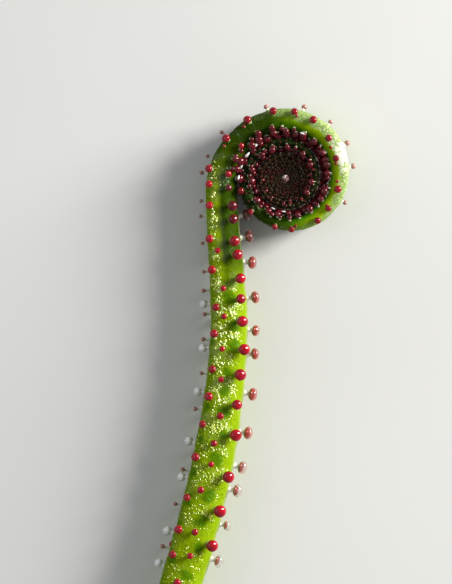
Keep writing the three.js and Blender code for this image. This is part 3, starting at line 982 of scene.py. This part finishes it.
def add_bead(surface, place, degrees, radius, lean=None):
    """One droplet, with its lower part sunk in the skin, or a facet that leans its own way."""
    foot, normal, _ = spot_at(place, degrees)
    shaded = SHADE_START < place < SHADE_END and degrees < SHADE_ANGLE
    patch = nearness(foot[None], HEAD_SHADOWS)[0]
    if foot[2] < FLOOR_BARE * radius or place < 0 or shaded or patch > SHADOW_BARE:
        return
    direction = normal
    low = -BEAD_SINK * radius
    profile = ball_profile(radius, low, low + 2 * radius, BEAD_RINGS)
    if lean is not None:
        direction = unit(FACET_OUTWARD * normal + lean)
        profile = scaled(FACET_CURVE, radius, radius)
    white = np.interp(place, WHITE_PLACES, WHITE_SHARES)
    surface.add_lathe(profile, BEAD_SIDES, foot, direction, white=white)


def make_beads(plain_look, glint_look):
    """Stalkless glands and glittering facets, scattered over the skin by a seeded draw."""
    chance = make_chance(4242)
    beads, glints = Surface(), Surface()
    for count, start, end, turned, spread, radius in BEAD_FIELDS:
        for _ in range(count):
            place = start + (chance() + 0.5) * (end - start)
            degrees = turned + spread * (chance() + chance())
            add_bead(beads, place, degrees, radius * (1 + BEAD_STRAY * chance()))
    for count, start, end, turned, spread, facets, scatter, radius in CLUSTER_FIELDS:
        for _ in range(count):
            middle = start + (chance() + 0.5) * (end - start)
            middle_turn = turned + spread * (chance() + chance())
            for _ in range(facets):
                place = middle + scatter * CLUSTER_REACH * (chance() + chance())
                degrees = middle_turn + scatter * CLUSTER_SPREAD * (chance() + chance())
                stray = np.array((chance(), chance(), chance()))
                lean = FACET_LEAN + scatter * CLUSTER_LEAN * stray
                add_bead(glints, place, degrees, radius * (1 + BEAD_STRAY * chance()), lean)
    beads.make("skin_beads", plain_look)
    glints.make("glistening_beads", glint_look)


# The bud at the tip: number of lobes, their radius as a share of the tip's, its stray, how
# far they sink in, and their fineness
LOBES, LOBE_SIZE, LOBE_STRAY, LOBE_SINK = 46, 0.24, 0.1, 1.2
LOBE_SIDES, LOBE_RINGS = 12, 8
GOLDEN_ANGLE = math.pi * (3 - math.sqrt(5))


def make_tip(material):
    """Bud at the leaf's tip: small swollen lobes, spread evenly over a ball."""
    chance = make_chance(77)
    centre = np.array((*COIL_CENTRE, MIDDLE[-1][2]))
    bud = Surface()
    for lobe in range(LOBES):
        rise = 1 - 2 * (lobe + 0.5) / LOBES
        turn = lobe * GOLDEN_ANGLE
        flat = math.sqrt(1 - rise * rise)
        direction = np.array((flat * math.cos(turn), flat * math.sin(turn), rise))
        radius = TIP_RADIUS * (LOBE_SIZE + LOBE_STRAY * chance())
        foot = centre + direction * (TIP_RADIUS - LOBE_SINK * radius)
        bud.add_lathe(ball_profile(radius, -radius, radius, LOBE_RINGS), LOBE_SIDES, foot, direction)
    bud.make("tip_bud", material)


# Painted highlights: short bright streaks beside the crowded heads, where light glints on wet stalks:
# place along the leaf, section angle and size as a share
HIGHLIGHT_STREAKS = [(31.6, 30, 1.0), (32.6, 30, 1.1), (33.7, 30, 1.2), (34.7, 34, 1.1), (38.9, 44, 0.8),
           (63.6, 150, 0.6), (64.2, 150, 0.6)]
STRAND_LENGTH, STRAND_RADIUS, STRAND_SIDES = 0.44, 0.095, 12
# Each floats off the skin and above it, and its tilt and size stray
STRAND_OFF, STRAND_RISE = 0.2, 0.5
STRAND_TILT, STRAY_THICKNESS, STRAY_LENGTH = 0.5, 0.4, 0.2
STRAND_CURVE = [(0.0, -1.0), (0.6, -0.8), (1.0, -0.3), (0.9, 0.3), (0.5, 0.8), (0.0, 1.0)]


def make_highlight_streaks(material):
    """Short bright streaks along the inner edge of the turns, in the whitish drops' material: painted
    highlights of light on wet stalks.
    """
    chance = make_chance(31)
    streaks = Surface()
    for place, degrees, size in HIGHLIGHT_STREAKS:
        foot, normal, tangent = spot_at(place, degrees)
        direction = unit(tangent + STRAND_TILT * chance() * UP)
        radius = STRAND_RADIUS * size * (1 + STRAY_THICKNESS * chance())
        half = STRAND_LENGTH * size * (0.5 + STRAY_LENGTH * chance())
        middle = foot + normal * STRAND_OFF + UP * STRAND_RISE
        streaks.add_lathe(scaled(STRAND_CURVE, radius, half), STRAND_SIDES, middle, direction, pink=0.0)
    streaks.make("highlight_streaks", material)


# Half side of the floor, in metres
FLOOR = 1.0
# Lights: name, bearing, elevation, distance and size in metres, power, colour
LIGHTS = [("key", 24, 22, 0.25, (0.09, 0.16), 1.2, (1.0, 0.98, 0.92)),
          ("fill", 165, 42, 0.30, (0.25, 0.25), 0.16, (0.96, 0.98, 1.0))]
SKY_COLOUR, SKY_STRENGTH = (0.95, 0.97, 1.0, 1.0), 0.27


def make_floor(material):
    """Plain floor that the leaf lies on."""
    mesh = bpy.data.meshes.new("floor")
    corners = [(-FLOOR, -FLOOR, 0), (FLOOR, -FLOOR, 0), (FLOOR, FLOOR, 0), (-FLOOR, FLOOR, 0)]
    mesh.from_pydata(corners, [], [(0, 1, 2, 3)])
    mesh.materials.append(material)
    floor = add_object("floor", mesh)


def add_light(name, azimuth, elevation, distance, size, power, colour):
    """Area light aimed at the middle of the leaf."""
    data = bpy.data.lights.new(name, "AREA")
    data.shape = "RECTANGLE"
    data.size, data.size_y = size
    data.energy = power
    data.color = colour
    light = add_object(name, data)
    around, high = math.radians(azimuth), math.radians(elevation)
    ray = Vector((math.cos(high) * math.cos(around), math.cos(high) * math.sin(around), math.sin(high)))
    light.location = ray * distance
    light.rotation_euler = ray.to_track_quat("Z", "Y").to_euler()


def set_world():
    """Even pale light from all round."""
    world = bpy.data.worlds.new("studio")
    world.use_nodes = True
    background = world.node_tree.nodes["Background"]
    background.inputs["Color"].default_value = SKY_COLOUR
    background.inputs["Strength"].default_value = SKY_STRENGTH
    bpy.context.scene.world = world


# The camera looks straight down. The photograph's scale and size in pixels, and the pixel
# where the coil's centre is
PIXELS_PER_MM = 15
FRAME_WIDTH, FRAME_HEIGHT = 452, 584
COIL_PIXEL = (286.0, 178.5)
# Height of the camera over the level that it looks at, about half way up the leaf
CAMERA_HEIGHT, FOCUS_HEIGHT = 300.0, 1.9
SENSOR = 36.0


def add_camera():
    """Camera far above the leaf, with the photograph's frame."""
    data = bpy.data.cameras.new("camera")
    data.sensor_fit = "HORIZONTAL"
    data.sensor_width = SENSOR
    data.lens = SENSOR * CAMERA_HEIGHT / (FRAME_WIDTH / PIXELS_PER_MM)
    data.clip_start = 0.01
    camera = add_object("camera", data)
    x = COIL_CENTRE[0] + (FRAME_WIDTH / 2 - COIL_PIXEL[0]) / PIXELS_PER_MM
    y = COIL_CENTRE[1] + (COIL_PIXEL[1] - FRAME_HEIGHT / 2) / PIXELS_PER_MM
    camera.location = (x * MM, y * MM, (FOCUS_HEIGHT + CAMERA_HEIGHT) * MM)
    bpy.context.scene.camera = camera


blade = make_blade(LEAF, CUT)
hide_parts("leaf")
# Each list of glands with the sides of its stalks and of its heads
make_glands(STEM_GLANDS, "stem", (14, 22), STALK, HEAD, DROP, WET)
make_glands(COIL_GLANDS, "coil", (12, 18), STALK, HEAD)
make_glands(CROWD_GLANDS, "crowd", (10, 16), STALK, HEAD)
make_glands(PAPILLA_GLANDS, "papilla", (6, 8), PAPILLA, PAPILLA)
make_beads(BEAD, GLINT)
make_tip(TIP)
make_highlight_streaks(WET)
make_floor(FLOOR_LOOK)
add_camera()
set_world()
for light in LIGHTS:
    add_light(*light)
bpy.context.scene.view_settings.view_transform = "Standard"
